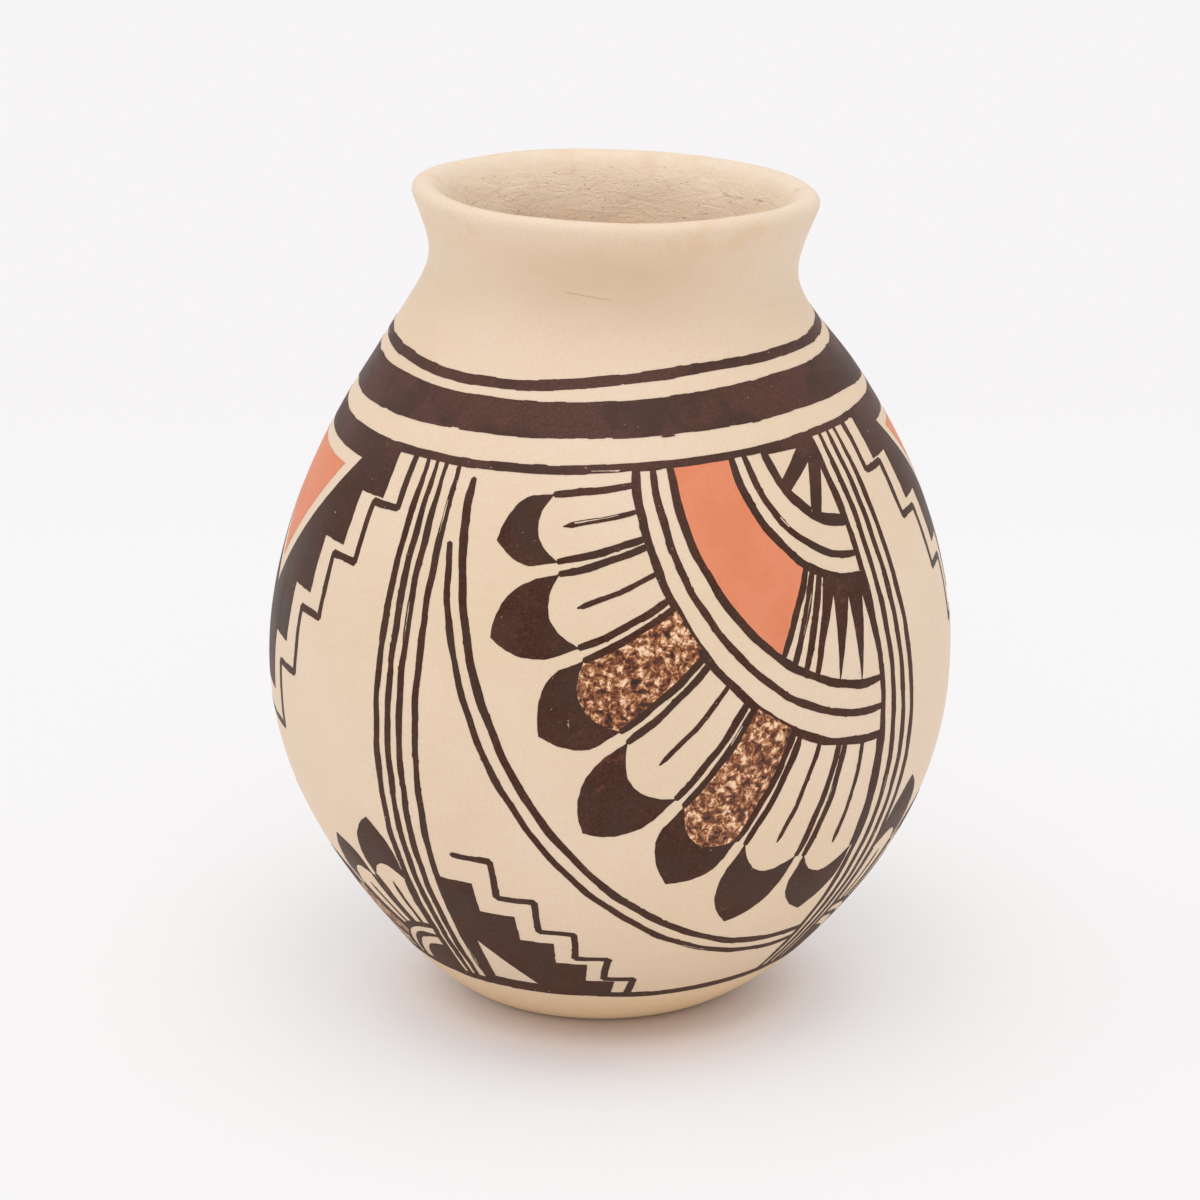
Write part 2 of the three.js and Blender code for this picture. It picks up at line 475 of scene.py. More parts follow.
class Brush:
    """A loaded brush in one hand: turns paths on the jar's map into painted outlines."""

    def __init__(self, seed):
        self.chance = np.random.default_rng(seed)

    def drift(self, along, size, reach):
        """Smooth unsteadiness of about size that changes over about reach, in millimetres."""
        total = np.zeros_like(along)
        for longer in (1.0, 1.7, 2.9):
            total += np.sin(2 * np.pi * (along / (reach * longer) + self.chance.random()))
        return total * size * 0.8

    def follow(self, path):
        """Evenly spaced points along a path, and the millimetres to each."""
        path = np.asarray(path, float)
        steps = np.hypot(*np.diff(path, axis=0).T) * map_scale((path[1:, 1] + path[:-1, 1]) / 2)
        along = np.r_[0, np.cumsum(steps)]
        even = np.linspace(0, along[-1], max(2, int(round(along[-1] / BRUSH_STEP)) + 1))
        return from_outline(along, even, path), even

    def ragged(self, along, size):
        """Small steps that a dry brush leaves along an edge, each held for a few millimetres."""
        ends = along[0] + np.cumsum(self.chance.uniform(*STEP_LENGTHS, int(along[-1] - along[0]) + 2))
        return self.chance.normal(0, size, len(ends) + 1)[np.searchsorted(ends, along)]

    def nicks(self, count, size, often):
        """Bristle marks that stand out of an edge here and there."""
        out = np.zeros(count)
        out[self.chance.random(count) < often] = size
        return out

    def stroke(self, path, width, start=0.8, end=0.8, shake=0.07, taper=1.6):
        """Outline of one stroke with rough edges and rounded ends, which taper over a few widths."""
        points, along = self.follow(path)
        scale = map_scale(points[:, 1])
        run, side = along_and_aside(points)
        points = points + side * (self.drift(along, shake, SWAY) / scale)[:, None]
        half = 0.5 * width * (1 + self.drift(along, SWELLING, SWAY))
        for share, reach in ((start, along), (end, along[-1] - along)):
            half = half * np.clip(share + (1 - share) * reach / (taper * width), 0, 1)
        half = np.maximum(half, LEAST_HALF)
        edges = []
        for way in (1, -1):
            rough = self.drift(along, *EDGE_DRIFT) + self.ragged(along, EDGE_STEPS)
            rough = rough + self.nicks(len(along), *NICKS)
            reach = half + np.clip(rough, -0.5 * half, NICKS[0])
            edges.append(points + way * side * (reach / scale)[:, None])
        tip = points[-1] + run[-1] * half[-1] * ROUNDING / scale[-1]
        heel = points[0] - run[0] * half[0] * ROUNDING / scale[0]
        return np.vstack([edges[0], tip, edges[1][::-1], heel])

    def patch(self, outline, rough=0.05):
        """Outline of a filled shape with the same unsteady edge."""
        outline = np.asarray(outline, float)
        points, sides, along, corners, whole, before = [], [], [], [], 0.0, outline[0] - outline[-1]
        for a, b in zip(outline, np.roll(outline, -1, axis=0)):
            part, reach = self.follow([a, b])
            run = (b - a) / max(1e-9, np.linalg.norm(b - a))
            if before @ run < PATCH_BEND * np.linalg.norm(before):
                corners.append(whole)
            points.append(part[:-1])
            sides.append(np.tile([-run[1], run[0]], (len(part) - 1, 1)))
            along.append(whole + reach[:-1])
            whole, before = whole + reach[-1], run
        points, sides, along = np.vstack(points), np.vstack(sides), np.hstack(along)
        near = np.abs(along[:, None] - np.array(corners or [0.0]))
        near = np.minimum(near, whole - near).min(axis=1)
        drift = self.drift(along, rough * PATCH_DRIFT[0], PATCH_DRIFT[1])
        shift = (drift + self.ragged(along, rough * PATCH_STEPS)) * np.minimum(1, near / PATCH_CALM)
        return points + sides * (shift / map_scale(points[:, 1]))[:, None]

    def touches(self, path, width, often):
        """Short dry strokes that stand out of a stroke's edges, and slivers that the brush missed."""
        points, along = self.follow(path)
        side = along_and_aside(points)[1]
        shapes = []
        for _ in range(self.chance.poisson(along[-1] * often)):
            reach = self.chance.uniform(*TOUCH_LENGTHS)
            start = self.chance.uniform(0, max(along[-1] - reach, 0.1))
            part = (along >= start) & (along <= start + reach)
            kind = MISSED if self.chance.random() < MISSED_SHARE else DRY
            away = width * kind["away"] * self.chance.choice((-1, 1))
            if part.sum() > 4:
                moved = points[part] + side[part] * (away / map_scale(points[part, 1]))[:, None]
                shapes.append((kind["colour"], self.stroke(moved, kind["width"], **TOUCH)))
        return shapes


def inside_outline(points, outline):
    """Which points lie inside a closed outline."""
    x, y = points[:, 0], points[:, 1]
    hit = np.zeros(len(points), bool)
    for (x0, y0), (x1, y1) in zip(outline, np.roll(outline, -1, axis=0)):
        if y0 != y1:
            hit ^= ((y0 > y) != (y1 > y)) & (x < (x1 - x0) * (y - y0) / (y1 - y0) + x0)
    return hit


def signed_area(outline):
    x, y = outline[:, 0], outline[:, 1]
    return 0.5 * np.sum(x * np.roll(y, -1) - np.roll(x, -1) * y)


def grid_inside(outline):
    """Points spread through a wide shape, so that its paint follows the round of the clay."""
    low, high = outline.min(axis=0), outline.max(axis=0)
    across = np.arange(low[0] + PAINT_GRID / 2, high[0], PAINT_GRID)
    upward = np.arange(low[1] + PAINT_GRID / 2, high[1], PAINT_GRID)
    if not len(across) or not len(upward):
        return np.zeros((0, 2))
    grid = np.stack(np.meshgrid(across, upward), -1).reshape(-1, 2)
    return grid[inside_outline(grid, outline)]


def cut_paint(shapes):
    """Cuts overlapping shapes into triangles, each with the colour that was laid on last."""
    points, faces = [], []
    for _, outline in shapes:
        outline = outline if signed_area(outline) > 0 else outline[::-1]
        faces.append(list(range(len(points), len(points) + len(outline))))
        points.extend(outline.tolist())
    for _, outline in shapes:
        if abs(signed_area(outline)) > 4 * PAINT_GRID ** 2:
            points.extend(grid_inside(outline).tolist())
    cut = delaunay_2d_cdt([Vector(p) for p in points], [], faces, 1, 1e-5, True)
    flat = np.array([tuple(p) for p in cut[0]])
    colours = {}
    for triangle, owners in zip(cut[2], cut[5]):
        if owners:
            colours.setdefault(shapes[max(owners)][0], []).append(triangle)
    colours.pop("bare", None)
    return flat, {colour: np.array(triangles) for colour, triangles in colours.items()}


def turn_outward(place, way, triangles):
    """Joins points that coincide, drops triangles without area and turns the others outward."""
    rounded = np.round(place, POINT_DIGITS)
    _, first, merged = np.unique(rounded, axis=0, return_index=True, return_inverse=True)
    faces = merged.reshape(-1)[triangles]
    place, way = place[first], way[first]
    corners = place[faces]
    facing = np.cross(corners[:, 1] - corners[:, 0], corners[:, 2] - corners[:, 0])
    kept = np.linalg.norm(facing, axis=1) > NO_AREA
    faces, flat_faces = faces[kept], triangles[kept]
    inward = np.einsum("ij,ij->i", facing[kept], way[faces[:, 0]]) < 0
    faces[inward] = faces[inward][:, ::-1]
    flat_faces[inward] = flat_faces[inward][:, ::-1]
    return place, way, faces, flat_faces


def find_open_edges(faces, flat_faces):
    """Edges that only one triangle has, each with the same edge on the map."""
    edges = {}
    for face, source in zip(faces.tolist(), flat_faces.tolist()):
        for k in range(3):
            edges[face[k], face[(k + 1) % 3]] = (source[k], source[(k + 1) % 3])
    return {edge: source for edge, source in edges.items() if edge[::-1] not in edges}


def lay_paint(name, flat, triangles, lift, material):
    """A closed skin of paint over the triangles, which lies on the clay and reaches a little into it."""
    used, index = np.unique(triangles, return_inverse=True)
    flat = flat[used]
    angle, up = flat[:, 0], flat[:, 1]
    place, way = outside(angle, up), outward(angle, up)
    place, way, faces, flat_faces = turn_outward(place, way, index.reshape(-1, 3))
    open_edges = find_open_edges(faces, flat_faces)
    count = len(place)
    walls = [(b, a, a + count, b + count) for a, b in open_edges]
    wall_sources = [(b, a, a, b) for a, b in open_edges.values()]
    sources = flat_faces.tolist() + flat_faces[:, ::-1].tolist() + wall_sources
    skin = faces.tolist() + (faces[:, ::-1] + count).tolist() + walls
    points = np.vstack([place + way * lift, place - way * PAINT_SINK])
    made = new_object(name, points, skin, material)
    made.data.normals_split_custom_set_from_vertices(np.vstack([way, -way]).tolist())
    low, high = flat.min(axis=0), flat.max(axis=0)
    spread = (flat - low) / (high - low)
    layer = made.data.uv_layers.new(name="OFBake")
    layer.data.foreach_set("uv", np.concatenate([spread[list(s)].ravel() for s in sources]))
    finish_piece(made)


def finish_piece(piece):
    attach(piece, ROOT)


def paint_shapes(name, shapes, lift):
    """Lays each colour of a group of shapes as its own piece."""
    flat, colours = cut_paint(shapes)
    for colour, triangles in colours.items():
        material, fill, slot = PAINTS[colour]
        lay_paint(f"{name}_{colour}", flat, triangles, lift, make_material(material, fill))


def ring_edge(ring, away=0.0):
    """The height of a ring, or of a line at a distance over it, by angle."""
    return lambda angle: ring_height(ring, angle) + away


def ring_outline(brush, top, low):
    """A closed ring laid out flat from the back round to the back."""
    angle = np.linspace(-180, 180, RING_STEPS + 1)
    along = angle * map_scale(map_height(top(angle).mean()))
    whole = along[-1] - along[0]
    edges = []
    for edge in (low, top):
        shift = np.zeros_like(along)
        for reach in RING_WAVES:
            times = round(whole / reach)
            start = brush.chance.random() * 2 * np.pi
            wave = np.sin(2 * np.pi * times * along / whole + start)
            shift += wave * RING_DRIFT * min(1, reach / RING_WHOLE)
        shift += brush.ragged(along, RING_DRIFT)
        shift[-1] = shift[0]
        edges.append(map_height(edge(angle) + shift))
    ends = np.linspace(edges[0][0], edges[1][0], RING_END_STEPS + 1)[1:-1]
    low_edge, top_edge = (np.stack([angle, edge], -1) for edge in edges)
    right_end, left_end = (np.stack([np.full_like(ends, side), ends], -1) for side in (180, -180))
    return np.vstack([low_edge, right_end, top_edge[::-1], left_end[::-1]])


def line_ring(brush, ring, width):
    """One line round the jar, with the brush's touches along it."""
    outline = ring_outline(brush, ring_edge(ring, width / 2), ring_edge(ring, -width / 2))
    return [("dark", outline)] + ring_touches(brush, ring, width)


def ring_touches(brush, ring, width):
    angle = np.linspace(-175, 175, PATH_STEPS["ring"])
    path = np.stack([angle, map_height(ring_height(ring, angle))], -1)
    return brush.touches(path, width, TOUCHES["ring"])


def group_angle(group, offset, turn, up):
    """Angle of one upright line of a group at a height on the map."""
    low, high = map_height(GROUP_SPAN)
    share = (np.asarray(up, float) - low) / (high - low)
    top, middle, base = group["middle"]
    curve = base * (1 - share) * (1 - 2 * share) + middle * 4 * share * (1 - share)
    return curve + top * share * (2 * share - 1) + offset + turn


def group_shapes(brush, group, turn, width):
    """Upright lines from the base line to the shoulder line, thinner towards their ends."""
    shapes = []
    for offset in group["lines"]:
        angle = group_angle(group, offset, turn, map_height(LINE_SPAN))
        foot = map_height(ring_height(BASE_LINE, angle[0]))
        head = map_height(ring_height(SHOULDER_LINE, angle[1]))
        up = np.linspace(foot, head, PATH_STEPS["line"])
        path = np.stack([group_angle(group, offset, turn, up), up], -1)
        shapes.append(("dark", brush.stroke(path, width * GROUP_WIDER, **GROUP_ENDS)))
        shapes += brush.touches(path, width, TOUCHES["group"])
    return shapes


class Field:
    """The clay between two line groups, in degrees right of the left one and up from the base line."""

    def __init__(self, brush, left, right, settings):
        self.brush = brush
        self.left, self.right = left, right
        self.low, self.high = map_height(FIELD_SPAN)
        self.height = self.high - self.low
        middle = (self.low + self.high) / 2
        self.width = float(self.edge(1, middle) - self.edge(0, middle))
        self.line = settings.line_width / MM
        self.fine = self.line * 0.85
        self.hair = self.line * 0.6
        self.shapes = []

    def edge(self, side, up):
        group, turn = (self.left, self.right)[side]
        offset = group["lines"][0] if side else group["lines"][-1]
        return group_angle(group, offset, turn, up)

    def place(self, points):
        """Field measures brought onto the map, between the lines that frame the field."""
        points = np.atleast_2d(np.asarray(points, float))
        across, share = points[:, 0] / self.width, points[:, 1] / self.height
        up = self.low + points[:, 1]
        left, right = self.edge(0, up), self.edge(1, up)
        angle = left + (right - left) * across
        base, top = (map_height(ring_height(ring, angle)) for ring in (BASE_LINE, SHOULDER_LINE))
        return np.stack([angle, base + (top - base) * share], -1)

    def stroke(self, path, width, start=0.8, end=0.8):
        path = self.place(path)
        self.shapes.append(("dark", self.brush.stroke(path, width, start, end)))
        self.shapes += self.brush.touches(path, width, TOUCHES["field"])

    def corners(self, path, width):
        """Straight strokes from corner to corner, as a brush is turned at each."""
        for a, b in zip(path[:-1], path[1:]):
            self.stroke([a, b], width, start=1.0, end=1.0)

    def patch(self, colour, outline, rough=0.05):
        self.shapes.append((colour, self.brush.patch(self.place(outline), rough)))


class Wing:
    """A quarter fan: radius out from its corner, and turn from 0 to 1 across it."""

    def __init__(self, corner, start, end, across, curl):
        self.corner = np.array(corner, float)
        self.start, self.end = start, end
        self.across = across
        self.curl = curl

    def at(self, radius, turn):
        angle = math.radians(self.start + (self.end - self.start) * turn)
        return self.corner + np.array([self.across * radius * math.cos(angle), radius * math.sin(angle)])

    def arc(self, radius, start=0.0, end=1.0, count=64):
        return np.array([self.at(radius, turn) for turn in np.linspace(start, end, count)])

    def ray(self, near, far, turn, count=10):
        return np.array([self.at(radius, turn) for radius in np.linspace(near, far, count)])


def paint_feathers(field, wing, count, quill, band, tip, stippled=()):
    """A row of feathers round a wing: two quill lines, a midrib and a dark rounded tip each."""

    def on(radius, turn):
        share = max(0.0, (radius - quill) / (tip - quill)) ** 1.3
        return wing.at(radius, turn - wing.curl * share * 4 * turn * (1 - turn))

    def line(near, far, turn, steps):
        return np.array([on(radius, turn) for radius in np.linspace(near, far, steps)])

    for i in range(count):
        gap = 0.07 / count
        near, far = i / count + gap, (i + 1) / count - gap
        middle = (near + far) / 2
        reach = tip + (1.5 if i % 2 else -1.5)
        point = on(reach, middle + 0.12 * (far - near))
        shoulder = band + 0.35 * (tip - band)
        rims = [line(band, shoulder, turn, 4) for turn in (near, far)]
        left = bend(on(shoulder, near), on(reach - 2.5, near + 0.1 * (far - near)), point, count=8)
        right = bend(on(shoulder, far), on(reach - 4, far - 0.02 * (far - near)), point, count=8)
        notch = bend(on(band, far), on(band + 0.55 * (tip - band), middle), on(band, near), count=9)
        quills = [line(quill, band, turn, 7) for turn in (near, far)]
        if i in stippled:
            field.patch("stipple", np.vstack([quills[0], notch[::-1][1:-1], quills[1][::-1]]))
        tip_edge = [rims[0], left[1:], right[::-1][1:], rims[1][::-1][1:], notch[1:-1]]
        field.patch("dark", np.vstack(tip_edge))
        for path in quills:
            field.stroke(path, field.fine)
        if i not in stippled:
            field.stroke(line(quill, band - 0.1 * (band - quill), middle, 7), field.hair, end=0.3)


def stairs(x, y, count, run, rise):
    """Corners of a stair that starts at x, y and climbs by steps."""
    points = [(x, y)]
    for i in range(count):
        points += [(x + run * i, y + rise * (i + 1)), (x + run * (i + 1), y + rise * (i + 1))]
    return points


def paint_fan(field):
    """A feather fan from the field's upper right corner, with a red and toothed ring round its heart."""
    start, end, across, curl = 180, 270, 0.81, 0.05
    wing = Wing((field.width, field.height), start, end, across, curl)
    feathers = Wing(wing.corner, start + 3, end, across, curl)
    heart, halo, red_in, red_out, lace, quill, band, tip, sweep = 19, 24, 28, 45, 49.5, 54, 74, 89, 95.5
    red_end, teeth, first_teeth = 0.62, 3, 0.74
    field.patch("dark", np.vstack([wing.corner, wing.arc(heart, count=16)]))
    for k in range(3):
        middle = (k + 0.5) / 3
        rim = [wing.at(heart - 2.2, middle + side) for side in (-0.11, 0.11)]
        field.patch("bare", [*rim, wing.at(heart - 11.5, middle)], 0.02)
    field.stroke(wing.arc(halo), field.fine)
    field.patch("red", np.vstack([wing.arc(red_in, 0.0, red_end), wing.arc(red_out, red_end, 0.0)]))
    dark_part = [wing.arc(red_in, first_teeth, 1.0, 12), wing.arc(red_out, 1.0, first_teeth, 12)]
    field.patch("dark", np.vstack(dark_part))
    for k in range(teeth):
        near, far = (first_teeth + (1 - first_teeth) * edge / teeth for edge in (k, k + 1))
        gap = [wing.at(red_out, near), wing.at(red_out, far), wing.at(red_in + 3, (near + far) / 2)]
        field.patch("bare", gap, 0.03)
    for turn in (red_end, 0.66, 0.70, first_teeth):
        field.stroke(wing.ray(red_in, red_out, turn), field.fine)
    rings = ((red_in, field.line), (red_out, field.line), (lace, field.fine), (quill, field.line))
    for radius, width in rings:
        field.stroke(wing.arc(radius), width)
    paint_feathers(field, feathers, 7, quill, band, tip, stippled=(2, 4))
    field.stroke(wing.arc(sweep, 0.02, 1.0, 50), field.line)
    field.stroke(wing.arc(sweep + 3.4, 0.1, 1.0, 50), field.fine)


def paint_terrace(field):
    """A stepped terrace in the lower left corner, with a bare window and one stair line round it."""
    run, rise, count, margin = 7.2, 7.4, 5, 3.5
    field.patch("dark", stairs(count * run, 0, count, -run, rise) + [(0, 0)])
    field.patch("bare", [(margin, margin), (16, margin), (margin, 19)], 0.03)
    field.corners(stairs(count * run + 4.5, 0, count, -run, rise + 1.2), field.fine)


def paint_pendant(field):
    """A stepped pendant that hangs from the shoulder line, with a red triangle in a bare one."""
    middle, high, count = field.width / 2, field.height, 5
    margin, line_margin = 8, 3.5
    run, rise = (middle - margin) / count, 10.5
    left = stairs(margin, high, count, run, -rise)
    right = stairs(field.width - margin, high, count, -run, -rise)
    field.patch("dark", left + right[::-1][1:])
    for x, way in ((line_margin, 1), (field.width - line_margin, -1)):
        field.corners(stairs(x, high, count, way * run, -rise - 1)[:-1], field.fine)
    foot = high - count * (rise + 1)
    ends = line_margin + (count - 1) * run
    field.corners([(ends, foot), (field.width - ends, foot)], field.fine)
    for colour, half, top, low in (("bare", 22, 5, 36), ("red", 16.5, 7.8, 31)):
        corners = [(middle - half, high - top), (middle + half, high - top), (middle, high - low)]
        field.patch(colour, corners, 0.03)


def paint_corner_fans(field):
    """A small fan of four feathers in each lower corner, with three fine lines between them."""
    heart, halo, quill, band, tip = 12, 15.5, 19, 33, 45
    for side in (0, 1):
        wing = Wing((field.width * side, 0), 180 if side else 0, 90, 0.86, -0.03)
        field.patch("dark", np.vstack([wing.corner, wing.arc(heart, count=10)]))
        field.stroke(wing.arc(halo), field.fine)
        field.stroke(wing.arc(quill), field.line)
        paint_feathers(field, wing, 4, quill, band, tip, stippled=(1,))
    for shift in (-3, 0, 3):
        across = field.width / 2 + shift
        top = field.height - 68 - abs(shift) * 1.2
        field.stroke([(across, 0), (across, top)], field.hair, end=0.4)


class Flow:
    """One socket's values, on which Python's own sums add Math nodes."""

    def __init__(self, finish, socket):
        self.finish = finish
        self.socket = socket

    def maths(self, operation, *others):
        values = dict(enumerate((self, *others)))
        return self.finish.node("ShaderNodeMath", {"operation": operation}, values)

    def __add__(self, other):
        return self.maths("ADD", other)

    def __sub__(self, other):
        return self.maths("SUBTRACT", other)

    def __rsub__(self, other):
        return self * -1 + other

    def __mul__(self, other):
        return self.maths("MULTIPLY", other)

    __radd__ = __add__
    __rmul__ = __mul__


class Finish:
    """The nodes of one material or of the world, all added by one method."""

    def __init__(self, owner):
        owner.use_nodes = True
        self.tree = owner.node_tree
        self.tree.nodes.clear()

    def node(self, kind, settings=None, values=None, output=0):
        node = self.tree.nodes.new(kind)
        for name, value in (settings or {}).items():
            if name == "stops":
                fill_ramp(node.color_ramp, value)
            else:
                setattr(node, name, value)
        for name, value in (values or {}).items():
            if isinstance(value, Flow):
                self.tree.links.new(value.socket, node.inputs[name])
            else:
                node.inputs[name].default_value = value
        return Flow(self, node.outputs[output]) if node.outputs else None

    def place(self, scale=PER_MM):
        """The object's own coordinates, in millimetres or scaled along each axis."""
        raw = self.node("ShaderNodeTexCoord", output="Object")
        return self.node("ShaderNodeMapping", None, {"Vector": raw, "Scale": scale})

    def noise(self, place, scale, detail=2.0, roughness=0.5, distortion=0.0):
        values = {"Vector": place, "Scale": scale, "Detail": detail}
        values |= {"Roughness": roughness, "Distortion": distortion}
        return self.node("ShaderNodeTexNoise", None, values)

    def step(self, value, low, high):
        """0 under low, 1 over high, smooth between."""
        values = {"Value": value, "From Min": low, "From Max": high}
        return self.node("ShaderNodeMapRange", {"interpolation_type": "SMOOTHSTEP"}, values)

    def mix(self, share, a, b):
        """Colours a and b in the given share."""
        return self.node("ShaderNodeMix", {"data_type": "RGBA"}, {0: share, 6: a, 7: b}, 2)

    def coat(self, colour, coat, value, low, high, share=1):
        """A colour with a coat over it, which comes in as the value rises from low to high."""
        return self.mix(self.step(value, low, high) * share, colour, coat)

    def part(self, place, axis):
        """One coordinate of a place."""
        return self.node("ShaderNodeSeparateXYZ", None, {"Vector": place}, axis)

    def scratch(self, mm, start, end, thick, behind):
        """A thin mark between two points given as x and z, on the front or the back of the jar."""
        (x0, z0), (x1, z1) = start, end
        length = math.hypot(x1 - x0, z1 - z0)
        run, climb = (x1 - x0) / length, (z1 - z0) / length
        x, y, z = (self.part(mm, axis) for axis in "XYZ")
        wander = (self.noise(mm, 0.9, 2) - 0.5) * thick * 2
        away = ((x - x0) * climb - (z - z0) * run + wander).maths("ABSOLUTE")
        along = (x - x0) * run + (z - z0) * climb
        ends = self.step(along, 0, length * 0.15) * (1 - self.step(along, length * 0.85, length))
        side = self.step(y * (1 if behind else -1), 0, 5)
        return (1 - self.step(away, thick * 0.3, thick)) * ends * side

    def blend(self, share, a, b):
        """Shaders a and b in the given share."""
        return self.node("ShaderNodeMixShader", None, {0: share, 1: a, 2: b})

    def distance(self, place, to=(0, 0, 0)):
        return self.node("ShaderNodeVectorMath", {"operation": "DISTANCE"}, {0: place, 1: to}, "Value")

    def surface(self, shader):
        self.node("ShaderNodeOutputMaterial", None, {"Surface": shader})

    def principled(self, colour, roughness, height, relief, specular=0.4):
        """Ends the sheet as clay or paint, whose height stands out by relief: strength and metres."""
        bump = {"Height": height, "Strength": relief[0], "Distance": relief[1]}
        values = {"Base Color": colour, "Roughness": roughness, "Specular IOR Level": specular}
        values["Normal"] = self.node("ShaderNodeBump", None, bump)
        self.surface(self.node("ShaderNodeBsdfPrincipled", None, values))


def fill_ramp(ramp, stops):
    while len(ramp.elements) < len(stops):
        ramp.elements.new(1.0)
    for element, (position, colour) in zip(ramp.elements, stops):
        element.position = position
        element.color = colour


def linear(value):
    value = value / 255
    return value / 12.92 if value <= 0.04045 else ((value + 0.055) / 1.055) ** 2.4


def shade(red, green, blue):
    """A colour as it looks on a screen, 0 to 255, brought to Blender's own measure."""
    return (linear(red), linear(green), linear(blue), 1.0)


def make_material(name, fill):
    """The material of that name, filled when it is first asked for."""
    made = bpy.data.materials.get(name)
    if made is None:
        made = bpy.data.materials.new(name)
        fill(Finish(made))
    return made


# Small marks in the clay: start and end as x and z, half width, and if the mark is inside at the back
MARKS = (
    ((-9.1, 142.8), (0.7, 141.3), 0.20, False),
    ((21.2, 148.9), (25.6, 149.0), 0.35, True),
    ((27.0, 149.4), (29.0, 149.5), 0.30, True),
    ((25.5, 20.6), (26.6, 20.0), 0.22, False),
    ((-28.3, 6.0), (-27.3, 5.4), 0.35, False),
)
LIP_PIT = (34.7, 4.2, 153.6)

# Stretched coordinates of the wiped inside, its pits and the polish outside
WIPED, PITTED, POLISHED = (170, 170, 520), (900, 900, 1700), (90, 90, 700)


def lay_slip(sheet, look, mm, height):
    """Cream slip with its yellower and pinker clouds, and warmer clay by the foot, lightened there as
    painted light from the floor.
    """
    cloud = sheet.noise(mm, 0.022, 3, 0.55)
    blush = sheet.noise(mm, 0.035, 2, 0.5)
    colour = sheet.coat(look.slip, look.slip_yellow, cloud, 0.35, 0.68)
    colour = sheet.coat(colour, look.slip_pink, blush, 0.52, 0.72, 0.5)
    # Warmer clay by the foot: its own colour, lightened as painted light thrown up by the floor
    edge = height + sheet.noise(mm, 0.12, 2) * 3
    return sheet.mix((1 - sheet.step(edge, 7.0, 16.0)) * 0.75, colour, look.base)


def lay_neck(sheet, look, mm, height, colour):
    """Painted shade, darker and yellower, on the middle of the neck under the lip, and painted light
    beside it and on the lip's crest.
    """
    # Darker, yellower patch under the lip: painted shade on the middle of the neck
    patch = sheet.step(height + sheet.noise(mm, 0.06, 2) * 6, 134, 149)
    patch = patch * (1 - sheet.step(height, 146, 154))
    aside = sheet.step(sheet.part(mm, "X").maths("ABSOLUTE"), 4, 34)
    colour = sheet.mix(patch * (1 - aside), colour, look.neck)
    # Paler slip beside the patch: painted light on the sides of the neck
    colour = sheet.mix(patch * aside * 0.25, colour, look.rim)
    # Paler crest, more at the back: painted highlight on the lip
    behind = sheet.step(sheet.part(mm, "Y"), -30, 0)
    return sheet.coat(colour, look.rim, height, 150, 154, behind * 0.3 + 0.2)


def rare_specks(sheet, mm):
    """Small round specks in a few of the cells that the clay is divided into."""
    cells = {"Vector": mm, "Scale": 0.11}
    dots = sheet.node("ShaderNodeTexVoronoi", None, cells, "Distance")
    pick = sheet.node("ShaderNodeTexVoronoi", None, cells, "Color")
    rare = sheet.step(sheet.node("ShaderNodeSeparateColor", None, {"Color": pick}, "Red"), 0.86, 0.88)
    return (1 - sheet.step(dots, 0.018, 0.045)) * rare


def fill_clay(sheet):
    """Cream slip, stone-polished outside and wiped with the fingers inside, warmer towards the base, with
    painted light on the base, the lip and the inside, and painted shade on the neck and in the pits.
    """
    look = bpy.context.scene.jar_clay
    mm = sheet.place()
    height = sheet.part(mm, "Z")
    inner = sheet.node("ShaderNodeAttribute", {"attribute_name": "inner"}, None, "Fac")
    raw = sheet.step(inner + sheet.noise(mm, 0.25, 3) * 0.3, 0.2, 0.8)
    wiped = sheet.noise(sheet.place(WIPED), 1.0, 5, 0.68, 0.8)
    pits = sheet.step(sheet.noise(sheet.place(PITTED), 1.0, 3, 0.6), 0.60, 0.72) * raw
    polish = sheet.noise(sheet.place(POLISHED), 1.0, 3, 0.6)
    grain = sheet.noise(mm, 2.2, 3, 0.75)
    specks = rare_specks(sheet, mm)
    pit = 1 - sheet.step(sheet.distance(mm, LIP_PIT) + sheet.noise(mm, 1.5, 2), 0.7, 1.2)
    marks = sum(sheet.scratch(mm, *mark) * (raw if mark[-1] else 1) for mark in MARKS) + pit * 1.6
    mottle = sheet.noise(mm, 0.11, 3, 0.6)
    # The bare inside, warmer further down, is lighter than the clay's own colour: painted light in the
    # mouth
    bare = sheet.coat(look.inside, look.inside_light, wiped, 0.3, 0.7)
    bare = sheet.mix((1 - sheet.step(height, 134, 148)) * 0.7, bare, look.inside_deep)
    colour = lay_neck(sheet, look, mm, height, lay_slip(sheet, look, mm, height))
    colour = sheet.mix(raw, colour, bare)
    # Darker pits: painted shade in these small hollows
    colour = sheet.mix(pits * 0.50, colour, look.pits)
    colour = sheet.coat(colour, look.polish, polish, 0.35, 0.7, 0.08)
    colour = sheet.coat(colour, look.grain, grain, 0.38, 0.72, 0.30 - raw * 0.22)
    colour = sheet.mix(specks * 0.55, colour, look.specks)
    colour = sheet.mix(marks * 0.26, colour, look.marks)
    on_lip = sheet.step(height, 147, 151) * (1 - raw)
    colour = sheet.coat(colour, look.mottle, mottle, 0.52, 0.66, on_lip * 0.35)
    rough = sheet.step(grain, 0.3, 0.8) * 0.10 + sheet.step(polish, 0.3, 0.8) * 0.08
    hills = sheet.noise(mm, 0.16, 2, 0.5) * 1.6 + grain * 0.22 + polish * 0.25
    hollows = wiped * 2.8 + grain * 1.4 - pits * 1.0
    relief = hills * (1 - raw) + hollows * raw - specks * 0.3
    sheet.principled(colour, rough + raw * 0.22 + look.roughness, relief, (0.55, 0.00025))


